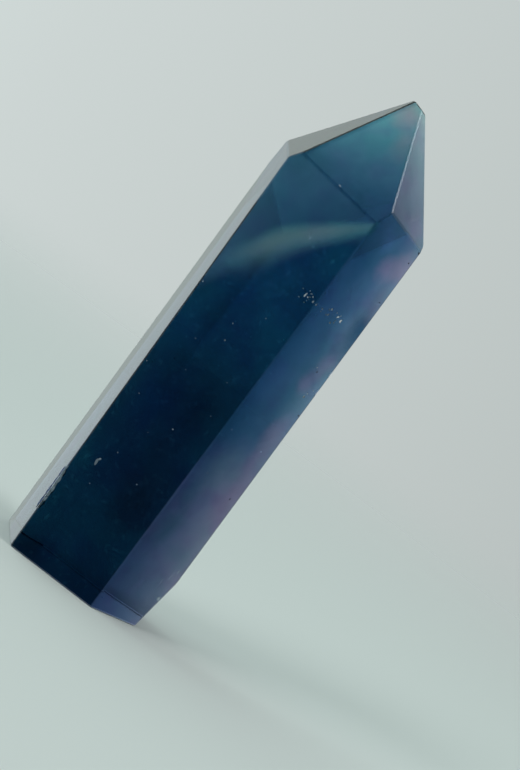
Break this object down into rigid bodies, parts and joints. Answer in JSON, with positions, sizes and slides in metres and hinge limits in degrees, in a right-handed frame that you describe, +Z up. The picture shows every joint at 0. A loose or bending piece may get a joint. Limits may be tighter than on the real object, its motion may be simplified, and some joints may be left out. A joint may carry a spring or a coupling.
{
  "type": "fluorite point",
  "caption": "Polished crystal point in deep blue fluorite, a faceted column with a pyramid tip that stands on its flat base as a display stone.",
  "frame": {"origin": "middle of the stone's outline, on the plane of its sawn base", "axes": "+Z up along the stone from the base to the tip, -Y on the side with the broad front face, +X to the right of that face"},
  "size_m": [0.023, 0.02, 0.0754],
  "materials": {
    "fluorite": "Polished, see-through deep blue to blue-green stone with purple patches along one edge and fine pale inclusions; small chips on two edges and at the tip."
  },
  "bodies": {
    "root": {"fluorite_point": "fluorite"}
  },
  "joints": []
}
